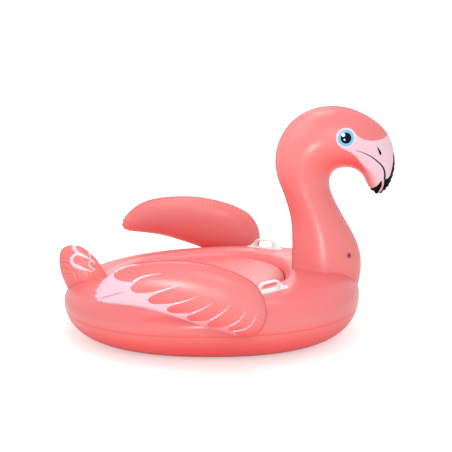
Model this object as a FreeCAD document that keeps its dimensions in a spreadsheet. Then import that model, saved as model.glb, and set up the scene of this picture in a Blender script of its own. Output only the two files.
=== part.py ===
import FreeCAD, Part
import math
import os
import Sketcher
from FreeCAD import Placement, Rotation, Vector

# An inflatable flamingo pool float. Millimetres. +X points to the head, +Y to the bird's left, +Z up.
# The origin is the middle of the flat underside. Every vinyl sheet is a closed thin shell.

doc = FreeCAD.newDocument("flamingo_float")

# ---------------------------------------------------------------- driving dimensions

DIMENSIONS = [
    ("sheet_wall", 4.0),
    ("hull_half_length", 630.0),
    ("hull_half_width", 545.0),
    ("hull_roundness", 2.28),
    ("seam_height", 130.0),
    ("seam_rise", 0.01),
    ("bottom_corner", 180.0),
    ("seat_inset", 225.0),
    ("seat_height", 238.0),
    ("seat_rise", 0.04),
    ("seat_front", 90.0),
    ("seat_front_from", 90.0),
    ("seat_front_full", 185.0),
    ("web_thickness", 3.0),
    ("web_spacing", 140.0),
    ("web_hole", 28.0),
    ("inner_web_back", -350.0),
    ("inner_web_front", 280.0),
    ("outer_web_back", -250.0),
    ("outer_web_front", 180.0),
    ("neck_pivot_along", 494.0),
    ("neck_pivot_height", 300.0),
    ("neck_lean", 5.5),
    ("diaphragm_height", 318.0),
    ("root_gap", 1.0),
    ("wing_plane", 606.0),
    ("wing_wall", 3.0),
    ("wing_hinge_height", 168.0),
    ("wing_strip_start", -60.0),
    ("wing_strip_length", 250.0),
    ("wing_strip_thickness", 6.0),
    ("wing_strip_reach", 570.0),
    ("tail_pivot_along", -560.0),
    ("tail_pivot_height", 228.0),
    ("tail_slope", 24.5),
    ("tail_sway", 12.5),
    ("handle_length", 186.0),
    ("handle_width", 42.0),
    ("handle_flange", 3.0),
    ("handle_bar_width", 22.0),
    ("handle_rise", 38.0),
    ("handle_bar", 9.0),
    ("handle_foot", 8.0),
    ("handle_depth", 40.0),
    ("handle_along", 237.0),
    ("handle_side", 360.5),
    ("handle_height", 272.6),
    ("handle_yaw", 35.1),
    ("handle_pitch", 5.0),
    ("valve_flange_radius", 14.0),
    ("valve_flange", 1.5),
    ("valve_cup_radius", 7.2),
    ("valve_cup_depth", 18.0),
    ("valve_wall", 1.2),
    ("valve_port_radius", 3.4),
    ("stem_radius", 6.9),
    ("stem_bore", 3.2),
    ("stem_length", 12.0),
    ("stem_top", 1.0),
    ("plug_cap_radius", 5.2),
    ("plug_cap", 1.5),
    ("plug_shank_radius", 3.14),
    ("plug_shank", 6.0),
    ("plug_gap", 0.3),
    ("flap_radius", 5.0),
    ("flap_thickness", 0.6),
    ("strap_width", 3.2),
    ("strap_start", 5.6),
    ("strap_end", 6.8),
    ("strap_rise", 1.5),
    ("neck_valve_along", 582.4),
    ("neck_valve_side", -80.4),
    ("neck_valve_height", 344.4),
    ("neck_valve_yaw", -52.6),
    ("neck_valve_tilt", 11.3),
    ("hull_valve_along", -453.7),
    ("hull_valve_side", 418.1),
    ("hull_valve_height", 167.9),
    ("hull_valve_yaw", 129.3),
    ("hull_valve_tilt", 27.2),
    ("room", 1200.0),
]

# Stations of the soft chambers. Each is an oval: middle along X, middle height, tilt of its long
# axis from +X in degrees, half its depth along that axis, half its width across the bird.
NECK_STATIONS = [
    ("root", 485, 170, 0, 140, 108),
    ("base", 494.5, 280, 0, 145.5, 115),
    ("breast", 470, 418, 9, 123.5, 103),
    ("throat", 442, 508, 12, 103.5, 92),
    ("nape", 389.5, 652, -1.4, 104.5, 88),
    ("bend", 389, 708.5, -12.9, 119, 92),
    ("crown", 464, 818, -48.1, 143.7, 100),
    ("brow", 606, 827.5, -87.2, 122.6, 90),
    ("face", 666, 792, -105, 112, 76),
    ("beak", 716.5, 692.5, -136, 75.7, 44),
    ("beak_end", 718.5, 654, -142, 58.8, 34),
    ("point", 723.5, 600, -141, 14, 10),
]
TAIL_STATIONS = [
    ("root", -532, 187, 25, 88, 46),
    ("base", -553, 226, 25, 83, 48),
    ("swell", -569.5, 265, 21.7, 81, 42),
    ("middle", -587.5, 306, 13.3, 69.4, 32),
    ("upper", -599, 339, 10, 51.8, 21),
    ("tip", -606, 361.5, 3, 26, 10),
]
# Stations of a wing: place along X, lowest and highest height, half its thickness.
WING_STATIONS = [
    ("tip", -436, 303, 330, 7),
    ("tip_swell", -420, 293, 370, 15),
    ("rear", -360, 287, 420, 28),
    ("blade", -270, 275, 444, 38),
    ("crest", -160, 243, 455, 44),
    ("middle", -50, 203, 446, 46),
    ("front", 50, 171, 421, 45),
    ("shoulder", 120, 152, 396, 40),
    ("heel", 170, 149, 362, 33),
    ("toe", 210, 172, 315, 22),
    ("end", 229, 215, 262, 9),
]
# Stations of the hull's upper skin: inset from the seam's outline, height at the middle, rise along X.
TOP_STATIONS = [
    ("seam", 0, 130, 0.01),
    ("bulge", -10, 160, 0.02),
    ("shoulder", 4, 195, 0.03),
    ("slope", 40, 226, 0.04),
    ("high_slope", 90, 247, 0.048),
    ("crest", 145, 258, 0.055),
    ("inner_slope", 190, 252, 0.05),
    ("seat_edge", 225, 238, 0.04),
]

sheet = doc.addObject("Spreadsheet::Sheet", "dimensions")
sheet_row = 0


def put(alias, value):
    """Write one driving dimension into the sheet under its alias."""
    global sheet_row
    sheet_row += 1
    sheet.set("A%d" % sheet_row, alias)
    sheet.set("B%d" % sheet_row, "%g" % value)
    sheet.setAlias("B%d" % sheet_row, alias)


def put_stations(prefix, columns, stations):
    """Write a table of stations, one alias for each station and column."""
    for station in stations:
        for column, value in zip(columns, station[1:]):
            put("%s_%s_%s" % (prefix, station[0], column), value)


for name, value in DIMENSIONS:
    put(name, value)
OVAL_COLUMNS = ("along", "height", "tilt", "depth", "width")
put_stations("neck", OVAL_COLUMNS, NECK_STATIONS)
put_stations("tail", OVAL_COLUMNS, TAIL_STATIONS)
put_stations("wing", ("along", "low", "high", "thickness"), WING_STATIONS)
put_stations("hull_top", ("inset", "height", "rise"), TOP_STATIONS)
doc.recompute()


def dim(alias):
    """A driving dimension read back from the sheet."""
    return float(sheet.get(alias))


def read_stations(prefix, columns, stations):
    """The stations of one table as rows of numbers from the sheet."""
    rows = []
    for station in stations:
        rows.append([dim("%s_%s_%s" % (prefix, station[0], column)) for column in columns])
    return rows


# ---------------------------------------------------------------- helpers


def bind(thing, **links):
    """Bind properties of an object to expressions on the sheet."""
    for key, expression in links.items():
        thing.setExpression(key, expression)


def feature(label, shape):
    """A shape made with Part's own functions."""
    thing = doc.addObject("Part::Feature", label)
    thing.Label = label
    thing.Shape = shape
    return thing


def boolean(kind, label, base, tool):
    """A cut or a common of two objects."""
    thing = doc.addObject("Part::" + kind, label)
    thing.Label = label
    thing.Base = base
    thing.Tool = tool
    return thing


def fuse(label, *things):
    """One solid from several."""
    thing = doc.addObject("Part::MultiFuse", label)
    thing.Label = label
    thing.Shapes = list(things)
    return thing


def box(label, length, width, height, position, rotation=Rotation()):
    """A box whose sides are expressions; position and rotation place its corner."""
    thing = doc.addObject("Part::Box", label)
    thing.Label = label
    bind(thing, Length=length, Width=width, Height=height)
    thing.Placement = Placement(position, rotation)
    return thing


def mirrored(label, source):
    """The same piece on the bird's right, mirrored in the XZ plane."""
    thing = doc.addObject("Part::Mirroring", label)
    thing.Label = label
    thing.Source = source
    thing.Base = Vector(0, 0, 0)
    thing.Normal = Vector(0, 1, 0)
    return thing


def smooth_ring(points):
    """A closed smooth curve through the points, evenly parametrised so that rings match in a loft."""
    curve = Part.BSplineCurve()
    curve.interpolate(Points=points, PeriodicFlag=True, Parameters=list(range(len(points) + 1)))
    return Part.Wire([curve.toShape()])


OVAL_POINTS = 24
UP = Vector(0, 0, 1)
ACROSS = Vector(0, 1, 0)


def plan_ring(inset, height, rise, front=0.0):
    """The hull's plan outline moved in by inset, and by front more on the middle line towards the
    neck, on the plane height + rise * x."""
    power = dim("hull_roundness")
    points = []
    for step in range(OVAL_POINTS):
        angle = 2 * math.pi * step / OVAL_POINTS
        inward = inset + front * max(0.0, math.cos(angle)) ** 2
        long_part = abs(math.cos(angle) / (dim("hull_half_length") - inward)) ** power
        wide_part = abs(math.sin(angle) / (dim("hull_half_width") - inward)) ** power
        radius = (long_part + wide_part) ** (-1 / power)
        along = radius * math.cos(angle)
        points.append(Vector(along, radius * math.sin(angle), height + rise * along))
    return smooth_ring(points)


def tilted_ring(along, height, tilt, depth, width):
    """An oval across the neck or the tail: depth lies in the XZ plane at the tilt, width along Y."""
    lean = math.radians(tilt)
    points = []
    for step in range(OVAL_POINTS):
        angle = 2 * math.pi * step / OVAL_POINTS
        reach = depth * math.cos(angle)
        points.append(
            Vector(along + reach * math.cos(lean), width * math.sin(angle), height + reach * math.sin(lean))
        )
    return smooth_ring(points)


def upright_ring(along, low, high, thickness, side):
    """An oval across a wing, in a plane that faces along X."""
    middle = (low + high) / 2
    reach = (high - low) / 2
    points = []
    for step in range(OVAL_POINTS):
        angle = 2 * math.pi * step / OVAL_POINTS
        points.append(Vector(along, side + thickness * math.sin(angle), middle + reach * math.cos(angle)))
    return smooth_ring(points)


def skin(rings):
    """A closed smooth solid through the rings."""
    return Part.makeLoft(rings, True, False)


# ---------------------------------------------------------------- hull

wall = dim("sheet_wall")
top_rows = read_stations("hull_top", ("inset", "height", "rise"), TOP_STATIONS)
BOTTOM_STEPS = 5


def bottom_rings(thickness):
    """Rings of the dished bottom, from the flat underside up to the seam, a thickness inside."""
    rings = []
    for step in range(BOTTOM_STEPS + 1):
        angle = math.pi / 2 * step / BOTTOM_STEPS
        inset = dim("bottom_corner") * (1 - math.sin(angle)) + thickness
        share = 1 - math.cos(angle)
        lift = thickness * (1 - share)
        height = dim("seam_height") * share + lift
        rings.append(plan_ring(inset, height, dim("seam_rise") * share))
    return rings


def front_widening(inset):
    """How much wider the rim is at an inset on the middle line, between the seat and the neck."""
    share = (inset - dim("seat_front_from")) / (dim("seat_front_full") - dim("seat_front_from"))
    return dim("seat_front") * min(1.0, max(0.0, share))


def top_rings(thickness):
    """Rings of the upper skin from the seam over the crest to the seat's edge, a thickness inside."""
    rings = []
    last = len(top_rows) - 1
    for index, (inset, height, rise) in enumerate(top_rows):
        turn = min(1.0, index / (last / 2))
        inward = thickness * (1 - turn)
        downward = thickness * turn
        rings.append(plan_ring(inset + inward, height - downward, rise, front_widening(inset)))
    return rings


bottom_outer = feature("bottom_outer", skin(bottom_rings(0)))
bottom_inner = feature("bottom_inner", skin(bottom_rings(wall)))
hull_bottom_panel = boolean("Cut", "hull_bottom_panel", bottom_outer, bottom_inner)

top_outer = feature("top_outer", skin(top_rings(0)))
top_inner = feature("top_inner", skin(top_rings(wall)))
top_shell = boolean("Cut", "top_shell", top_outer, top_inner)

# The seat weld is an upright cut through the upper skin.
seat_floor = plan_ring(dim("seat_inset"), 0, 0, front_widening(dim("seat_inset")))
seat_column = feature("seat_column", Part.Face(seat_floor).extrude(Vector(0, 0, dim("room"))))
seat_panel = boolean("Common", "seat_panel", top_shell, seat_column)
rim_shell = boolean("Cut", "rim_shell", top_shell, seat_column)


# ---------------------------------------------------------------- tie webs under the seat


WEB_HOLE_SHARES = (0.2, 0.5, 0.8)


def tie_web(label, side, kind):
    """An upright strip between the bottom and the seat, with round holes that let the air pass."""
    back = dim(kind + "_web_back")
    front = dim(kind + "_web_front")
    body = doc.addObject("PartDesign::Body", label)
    body.Label = label
    sketch = body.newObject("Sketcher::SketchObject", label + "_sketch")
    plane = [item for item in body.Origin.OriginFeatures if item.Role == "XZ_Plane"][0]
    sketch.AttachmentSupport = (plane, "")
    sketch.MapMode = "FlatFace"
    under_seat = dim("seat_height") - wall
    corners = [
        Vector(back, wall, 0),
        Vector(front, wall, 0),
        Vector(front, under_seat + dim("seat_rise") * front, 0),
        Vector(back, under_seat + dim("seat_rise") * back, 0),
    ]
    for index in range(4):
        sketch.addGeometry(Part.LineSegment(corners[index], corners[(index + 1) % 4]), False)
    for share in WEB_HOLE_SHARES:
        middle = Vector(back + (front - back) * share, under_seat / 2, 0)
        hole = sketch.addGeometry(Part.Circle(middle, UP, dim("web_hole")), False)
        size = sketch.addConstraint(Sketcher.Constraint("Radius", hole, dim("web_hole")))
        sketch.setExpression("Constraints[%d]" % size, "dimensions.web_hole")
    pad = body.newObject("PartDesign::Pad", label + "_pad")
    pad.Profile = sketch
    pad.setExpression("Length", "dimensions.web_thickness")
    pad.Midplane = True
    body.Placement = Placement(Vector(0, side, 0), Rotation())
    return body


spacing = dim("web_spacing")
tie_webs = [
    tie_web("tie_web_outer_left", 1.5 * spacing, "outer"),
    tie_web("tie_web_inner_left", 0.5 * spacing, "inner"),
    tie_web("tie_web_inner_right", -0.5 * spacing, "inner"),
    tie_web("tie_web_outer_right", -1.5 * spacing, "outer"),
]

# ---------------------------------------------------------------- neck and head


def chamber(prefix, stations, thickness):
    """The outer and inner skins of a chamber that stands in the XZ plane."""
    rows = read_stations(prefix, OVAL_COLUMNS, stations)
    outer = skin([tilted_ring(*row) for row in rows])
    inner = skin(
        [
            tilted_ring(along, height, tilt, depth - thickness, width - thickness)
            for along, height, tilt, depth, width in rows[:-1]
        ]
    )
    return outer, inner


room = dim("room")
left_half = box(
    "left_half", "2 * dimensions.room", "dimensions.room", "2 * dimensions.room", Vector(-room, 0, -room)
)
right_half = box(
    "right_half", "2 * dimensions.room", "dimensions.room", "2 * dimensions.room", Vector(-room, -room, -room)
)

neck_outer_skin, neck_inner_skin = chamber("neck", NECK_STATIONS, wall)
neck_outer = feature("neck_outer", neck_outer_skin)
neck_inner = feature("neck_inner", neck_inner_skin)
neck_shell = boolean("Cut", "neck_shell", neck_outer, neck_inner)
neck_pivot = Vector(dim("neck_pivot_along"), 0, dim("neck_pivot_height"))


def below(label, pivot, axis, angle, turn):
    """A large block under the plane through the pivot that is turned by the angle about the axis."""
    thing = box(label, "2 * dimensions.room", "2 * dimensions.room", "dimensions.room", Vector(0, 0, 0))
    tilt = Rotation(axis, angle).multiply(turn)
    thing.Placement = Placement(pivot, tilt).multiply(Placement(Vector(-room, -room, -room), Rotation()))
    return thing


neck_below_rear = below("neck_below_rear", neck_pivot, ACROSS, dim("neck_lean"), Rotation())
neck_below_front = below("neck_below_front", neck_pivot, ACROSS, -dim("neck_lean"), Rotation())
neck_below = fuse("neck_below", neck_below_rear, neck_below_front)
neck_free = boolean("Cut", "neck_free", neck_shell, neck_below)
root_gap = Vector(0, 0, dim("root_gap"))
neck_level = below("neck_level", neck_pivot - root_gap, ACROSS, 0, Rotation())
neck_low = boolean("Common", "neck_low", neck_shell, neck_level)
neck_root_collar = boolean("Cut", "neck_root_collar", neck_low, top_outer)
neck_left_panel = boolean("Common", "neck_left_panel", neck_free, left_half)
neck_right_half = boolean("Common", "neck_right_half", neck_free, right_half)

# The sheet that closes the neck's air chamber just above its root.
diaphragm_slab = box(
    "diaphragm_slab",
    "dimensions.room",
    "dimensions.room",
    "dimensions.sheet_wall",
    Vector(0, -room / 2, dim("diaphragm_height")),
)
neck_base_diaphragm = boolean("Common", "neck_base_diaphragm", neck_inner, diaphragm_slab)

# ---------------------------------------------------------------- tail

tail_outer_skin, tail_inner_skin = chamber("tail", TAIL_STATIONS, wall)
tail_outer = feature("tail_outer", tail_outer_skin)
tail_inner = feature("tail_inner", tail_inner_skin)
tail_shell = boolean("Cut", "tail_shell", tail_outer, tail_inner)
tail_pivot = Vector(dim("tail_pivot_along"), 0, dim("tail_pivot_height"))
tail_lean = Rotation(ACROSS, -dim("tail_slope"))
tail_axis = tail_lean.multVec(Vector(1, 0, 0))
tail_below_left = below("tail_below_left", tail_pivot, tail_axis, dim("tail_sway"), tail_lean)
tail_below_right = below("tail_below_right", tail_pivot, tail_axis, -dim("tail_sway"), tail_lean)
tail_below = fuse("tail_below", tail_below_left, tail_below_right)
tail_free = boolean("Cut", "tail_free", tail_shell, tail_below)
tail_level = below("tail_level", tail_pivot - root_gap, tail_axis, 0, tail_lean)
tail_low = boolean("Common", "tail_low", tail_shell, tail_level)
tail_root_collar = boolean("Cut", "tail_root_collar", tail_low, top_outer)
tail_left_panel = boolean("Common", "tail_left_panel", tail_free, left_half)
tail_right_panel = boolean("Common", "tail_right_panel", tail_free, right_half)

# ---------------------------------------------------------------- wings

wing_side = dim("wing_plane")
wing_rows = read_stations("wing", ("along", "low", "high", "thickness"), WING_STATIONS)
wing_wall = dim("wing_wall")
wing_outer_skin = skin([upright_ring(*row, wing_side) for row in wing_rows])
wing_inner_skin = skin(
    [
        upright_ring(along, low + wing_wall, high - wing_wall, thickness - wing_wall, wing_side)
        for along, low, high, thickness in wing_rows[1:-1]
    ]
)
wing_outer = feature("wing_outer", wing_outer_skin)
wing_inner = feature("wing_inner", wing_inner_skin)
wing_shell = boolean("Cut", "wing_shell", wing_outer, wing_inner)
wing_outside = box(
    "wing_outside", "2 * dimensions.room", "dimensions.room", "dimensions.room", Vector(-room, wing_side, 0)
)
wing_left_outer_panel = boolean("Common", "wing_left_outer_panel", wing_shell, wing_outside)
wing_left_inner_panel = boolean("Cut", "wing_left_inner_panel", wing_shell, wing_outside)
wing_right_outer_panel = mirrored("wing_right_outer_panel", wing_left_outer_panel)
wing_right_inner_panel = mirrored("wing_right_inner_panel", wing_left_inner_panel)

strip_low = dim("wing_hinge_height") - dim("wing_strip_thickness") / 2
wing_strip_block = box(
    "wing_strip_block",
    "dimensions.wing_strip_length",
    "dimensions.wing_strip_reach",
    "dimensions.wing_strip_thickness",
    Vector(dim("wing_strip_start"), 0, strip_low),
)
wing_left_root_strip = boolean("Cut", "wing_left_root_strip", wing_strip_block, top_outer)
wing_right_root_strip = mirrored("wing_right_root_strip", wing_left_root_strip)

# ---------------------------------------------------------------- handles

# Stations of the handle's arch from its middle to one end: share of the half length, share of the rise.
ARCH_OUTER = [(0, 1.0), (0.44, 0.94), (0.66, 0.35)]
ARCH_INNER = [(0, 1.0), (0.38, 0.94), (0.5, 0.3)]
ARCH_OUTER_FOOT = 0.86
ARCH_INNER_FOOT = 0.52

flange_rise = dim("handle_flange")
flange_rings = []
for inset, height, rise in top_rows:
    flange_rings.append(plan_ring(inset - flange_rise, height + flange_rise, rise))
flange_skin = feature("flange_skin", skin(flange_rings))
handle_place = Placement(
    Vector(dim("handle_along"), dim("handle_side"), dim("handle_height")),
    Rotation(UP, -dim("handle_yaw")).multiply(Rotation(ACROSS, -dim("handle_pitch"))),
)


def handle_flange_column():
    """An upright column of the flange's plan: two round ends joined by long sides."""
    end = dim("handle_width") / 2
    reach = dim("handle_length") / 2 - end
    sides = [
        Part.makeLine(Vector(-reach, -end, 0), Vector(reach, -end, 0)),
        Part.Arc(Vector(reach, -end, 0), Vector(reach + end, 0, 0), Vector(reach, end, 0)).toShape(),
        Part.makeLine(Vector(reach, end, 0), Vector(-reach, end, 0)),
        Part.Arc(Vector(-reach, end, 0), Vector(-reach - end, 0, 0), Vector(-reach, -end, 0)).toShape(),
    ]
    depth = dim("handle_depth")
    column = Part.Face(Part.Wire(sides)).extrude(Vector(0, 0, 1.5 * depth))
    column.translate(Vector(0, 0, -depth))
    return column


def arch_curve(stations, foot, drop, front_first):
    """A smooth side profile over both feet; drop lowers its upper stations by the bar's thickness."""
    reach = dim("handle_length") / 2
    rise = dim("handle_rise")
    half = [Vector(foot * reach, 0, -dim("handle_foot"))]
    for share, height in reversed(stations):
        lower = drop if height > 0.5 else 0
        half.append(Vector(share * reach, 0, height * rise - lower))
    other_half = [Vector(-point.x, 0, point.z) for point in reversed(half[:-1])]
    points = half + other_half
    if not front_first:
        points.reverse()
    curve = Part.BSplineCurve()
    curve.interpolate(Points=points)
    return curve


def handle_arch():
    """The bar and its two flared legs, as a side profile drawn out to the bar's width."""
    wide = dim("handle_bar_width")
    outer = arch_curve(ARCH_OUTER, ARCH_OUTER_FOOT, 0, False)
    inner = arch_curve(ARCH_INNER, ARCH_INNER_FOOT, dim("handle_bar"), True)
    front_foot = Part.makeLine(outer.EndPoint, inner.StartPoint)
    rear_foot = Part.makeLine(inner.EndPoint, outer.StartPoint)
    wire = Part.Wire([outer.toShape(), front_foot, inner.toShape(), rear_foot])
    arch = Part.Face(wire).extrude(Vector(0, wide, 0))
    arch.translate(Vector(0, -wide / 2, 0))
    return arch


handle_column = feature("handle_column", handle_flange_column())
handle_column.Placement = handle_place
flange_slab = boolean("Common", "flange_slab", flange_skin, handle_column)
arch = feature("handle_arch", handle_arch())
arch.Placement = handle_place
handle_whole = fuse("handle_whole", flange_slab, arch)
handle_left = boolean("Cut", "handle_left", handle_whole, top_outer)
handle_right = mirrored("handle_right", handle_left)

# ---------------------------------------------------------------- valves


def cylinder(label, radius, height, low):
    """A cylinder about the local Z from the height low; radius and height are expressions."""
    thing = doc.addObject("Part::Cylinder", label)
    thing.Label = label
    bind(thing, Radius=radius, Height=height)
    thing.Placement = Placement(Vector(0, 0, low), Rotation())
    return thing


def valve_place(name):
    """Where a valve stands: local Z leaves the float at the yaw and tilt, local X points down."""
    position = Vector(dim(name + "_along"), dim(name + "_side"), dim(name + "_height"))
    turn = Rotation(UP, dim(name + "_yaw")).multiply(Rotation(ACROSS, 90 - dim(name + "_tilt")))
    return Placement(position, turn)


def valve_hole(label, place):
    """The round hole that a valve's cup leaves in its panel."""
    hole = cylinder(
        label, "dimensions.valve_cup_radius + 2 * dimensions.valve_wall", "2 * dimensions.valve_cup_depth", 0
    )
    hole.Placement = place.multiply(Placement(Vector(0, 0, -dim("valve_cup_depth")), Rotation()))
    return hole


def valve(name, place):
    """The five pieces of a push-in valve: cup with flange, stem, plug, strap and check flap."""
    depth = dim("valve_cup_depth")
    thin = dim("valve_wall")
    flange = cylinder(name + "_flange", "dimensions.valve_flange_radius", "dimensions.valve_flange", 0)
    well = cylinder(
        name + "_well",
        "dimensions.valve_cup_radius + dimensions.valve_wall",
        "dimensions.valve_cup_depth + dimensions.valve_wall",
        -depth - thin,
    )
    long_enough = "2 * dimensions.valve_cup_depth"
    hollow = cylinder(name + "_hollow", "dimensions.valve_cup_radius", long_enough, -depth)
    port = cylinder(name + "_port", "dimensions.valve_port_radius", long_enough, -1.5 * depth)
    cup = boolean(
        "Cut", name + "_cup", fuse(name + "_cup_block", flange, well), fuse(name + "_cup_room", hollow, port)
    )
    stem_low = dim("stem_top") - dim("stem_length")
    tube = cylinder(name + "_tube", "dimensions.stem_radius", "dimensions.stem_length", stem_low)
    bore = cylinder(name + "_bore", "dimensions.stem_bore", "2 * dimensions.stem_length", 1.5 * stem_low)
    stem = boolean("Cut", name + "_stem", tube, bore)
    cap_low = dim("stem_top") + dim("plug_gap")
    cap = cylinder(name + "_cap", "dimensions.plug_cap_radius", "dimensions.plug_cap", cap_low)
    shank = cylinder(
        name + "_shank", "dimensions.plug_shank_radius", "dimensions.plug_shank", cap_low - dim("plug_shank")
    )
    plug = fuse(name + "_plug", cap, shank)
    flap_low = stem_low - dim("plug_gap") - dim("flap_thickness")
    flap = cylinder(name + "_flap", "dimensions.flap_radius", "dimensions.flap_thickness", flap_low)
    strap = box(
        name + "_strap",
        "dimensions.strap_end - dimensions.strap_start",
        "dimensions.strap_width",
        "dimensions.strap_rise",
        Vector(0, 0, 0),
    )
    strap_corner = Placement(Vector(dim("strap_start"), -dim("strap_width") / 2, dim("stem_top")), Rotation())
    strap.Placement = place.multiply(strap_corner)
    for piece in (cup, stem, plug):
        piece.Placement = place
    flap.Placement = place.multiply(flap.Placement)
    return [cup, stem, plug, flap, strap]


neck_valve_place = valve_place("neck_valve")
hull_valve_place = valve_place("hull_valve")
neck_valve = valve("neck_valve", neck_valve_place)
hull_valve = valve("hull_valve", hull_valve_place)
neck_right_panel = boolean(
    "Cut", "neck_right_panel", neck_right_half, valve_hole("neck_valve_hole", neck_valve_place)
)
hull_top_panel = boolean("Cut", "hull_top_panel", rim_shell, valve_hole("hull_valve_hole", hull_valve_place))

# ---------------------------------------------------------------- check and write

PIECES = [
    hull_bottom_panel,
    hull_top_panel,
    seat_panel,
    *tie_webs,
    neck_root_collar,
    neck_base_diaphragm,
    neck_left_panel,
    neck_right_panel,
    tail_root_collar,
    tail_left_panel,
    tail_right_panel,
    wing_left_outer_panel,
    wing_left_inner_panel,
    wing_right_outer_panel,
    wing_right_inner_panel,
    wing_left_root_strip,
    wing_right_root_strip,
    handle_left,
    handle_right,
    *neck_valve,
    *hull_valve,
]

doc.recompute()
for thing in doc.Objects:
    if "Invalid" in thing.State or "Error" in thing.State:
        raise RuntimeError("%s did not build: %s" % (thing.Label, thing.State))
os.makedirs("parts", exist_ok=True)
for piece in PIECES:
    shape = piece.Shape
    if shape.isNull() or not shape.isValid() or not shape.Solids:
        raise RuntimeError("%s has no valid solid" % piece.Label)
    print("%-24s solids %d  volume %10.0f mm3" % (piece.Label, len(shape.Solids), shape.Volume))
for piece in PIECES:
    piece.Shape.exportStep("parts/%s.step" % piece.Label)
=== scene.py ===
import math

import bmesh
import bpy
import numpy as np
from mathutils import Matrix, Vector


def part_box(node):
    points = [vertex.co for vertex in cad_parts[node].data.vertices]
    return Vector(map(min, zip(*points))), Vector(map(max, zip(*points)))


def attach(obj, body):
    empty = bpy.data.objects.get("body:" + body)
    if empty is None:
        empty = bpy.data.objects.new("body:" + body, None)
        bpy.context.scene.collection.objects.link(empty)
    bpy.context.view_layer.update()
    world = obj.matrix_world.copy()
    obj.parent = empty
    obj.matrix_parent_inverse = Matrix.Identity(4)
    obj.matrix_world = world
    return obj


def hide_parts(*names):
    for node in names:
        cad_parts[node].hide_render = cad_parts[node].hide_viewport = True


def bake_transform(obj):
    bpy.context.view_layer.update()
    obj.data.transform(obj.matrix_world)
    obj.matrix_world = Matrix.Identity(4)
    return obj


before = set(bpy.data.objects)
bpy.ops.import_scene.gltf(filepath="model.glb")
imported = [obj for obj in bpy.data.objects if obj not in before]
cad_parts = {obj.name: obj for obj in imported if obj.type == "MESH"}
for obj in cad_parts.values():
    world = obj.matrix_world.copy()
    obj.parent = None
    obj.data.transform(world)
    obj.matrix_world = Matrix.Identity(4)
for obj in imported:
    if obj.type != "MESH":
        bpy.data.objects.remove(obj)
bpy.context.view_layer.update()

# An inflatable flamingo float, in metres: +X to the head, +Y to the bird's left, +Z up.
# Each vinyl sheet is a thin closed skin. Printed artwork is stored on the vertices as distances.

# ---------------------------------------------------------------- driving sizes

SHEET = 0.0008  # thickness of a drawn skin
WELD_GAP = 0.00045  # each sheet's outside face from the plane of the weld
WELD_WIDTH = 0.0032  # width of the flat weld outside the chamber
PUCKER_LENGTH = 0.0225  # along the weld, from one pinch to the next
PUCKER_FADE = 0.02  # how far a pinch runs into the sheet
PUCKER_DRIFTS = ((0.9, 0.061, 0.0), (0.6, 0.023, 1.3))  # size, length and start of each unevenness
PUCKER_GROWTH = 0.00027  # a pinch's depth for each unit of the outline's bend
PUCKER_LEAST = 0.0003
PUCKER_MOST = 0.0045
PUCKER_EDGE = 0.9  # share of a pinch that reaches the weld's outer edge
PUCKER_LEVEL = 0.7  # a lobe above this swells and one below it sinks
PUCKER_FULL = 0.0016  # a pinch this deep swells its lobes in full
PUCKER_SWELL = 0.5
BEND_WINDOW = 0.012  # length over which an outline's bend is averaged
CHAMBER_POWER = 1.1  # how quickly a chamber thins to its weld; 1 is an ellipse
TURN_DENSITY = 1.5  # columns round a chamber's end, against an even pitch
FOLD_SHOULDER = 0.4  # a fold's raised shoulders, against its depth
FOLD_SHOULDER_WIDTH = 2.4  # and against its width
FOLD_LIMIT = 0.6  # the share of a sheet's height that a fold can take
FOLD_FADE = 4.0  # a fold fades out over a quarter of its length at each end
SIDES = ((1, "left"), (-1, "right"))

hull_low, hull_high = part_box("hull_bottom_panel")
HULL_LENGTH = (hull_high.x - hull_low.x) / 2
HULL_WIDTH = (hull_high.y - hull_low.y) / 2
HULL_ROUNDNESS = 2.28
SEAM_HEIGHT = 0.13
SEAM_RISE = 0.01
BOTTOM_CORNER = 0.18
SEAM_TURN = 1.43  # how far the lower sheet has turned up at the side weld, in radians
HULL_COLUMNS = 640
GROOVE_DEPTH = 0.0003  # how far the side weld draws the hull in
GROOVE_WIDTH = 0.003
GROOVE_FADE = 0.012  # how far its pinches run into the sheets

# The hull's upper skin: inset from the weld's outline, height at the middle, rise along X.
TOP_STATIONS = [
    (0.0, 0.13, 0.01),
    (-0.003, 0.152, 0.018),
    (-0.001, 0.18, 0.026),
    (0.014, 0.206, 0.033),
    (0.045, 0.23, 0.041),
    (0.09, 0.248, 0.048),
    (0.138, 0.2565, 0.053),
    (0.18, 0.251, 0.052),
    (0.206, 0.237, 0.048),
    (0.22, 0.219, 0.044),
]
SEAT_WELD = 0.2235  # inset of the weld round the seat
SEAT_FRONT = 0.093  # how much further in the weld lies behind the neck
SEAT_FRONT_FROM = 0.09  # the insets between which the rim widens behind the neck
SEAT_FRONT_FULL = 0.18
SEAT_WELD_HEIGHT = 0.2135
SEAT_CROWN = 0.035  # the seat's middle above its weld
SEAT_RISE = 0.044
SEAT_SHOULDER = 0.02  # how far in from its weld the seat has risen
SEAT_FLATNESS = 0.86  # the height of the seat's shoulder against its middle
SEAT_FOLD_PITCH = 0.62  # pinches round the seat against those of the side weld
SEAT_FOLD_START = 0.4
SEAT_FOLD_LEVEL = 0.6
SEAT_FOLD_MIDDLE = 0.012  # how far from the seat's weld a pinch is deepest
SEAT_FOLD_WIDTH = 0.016
RIM_PINCH = 0.0022
SEAT_PINCH = 0.0024
WIDENING_POWER = 0.7

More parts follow.
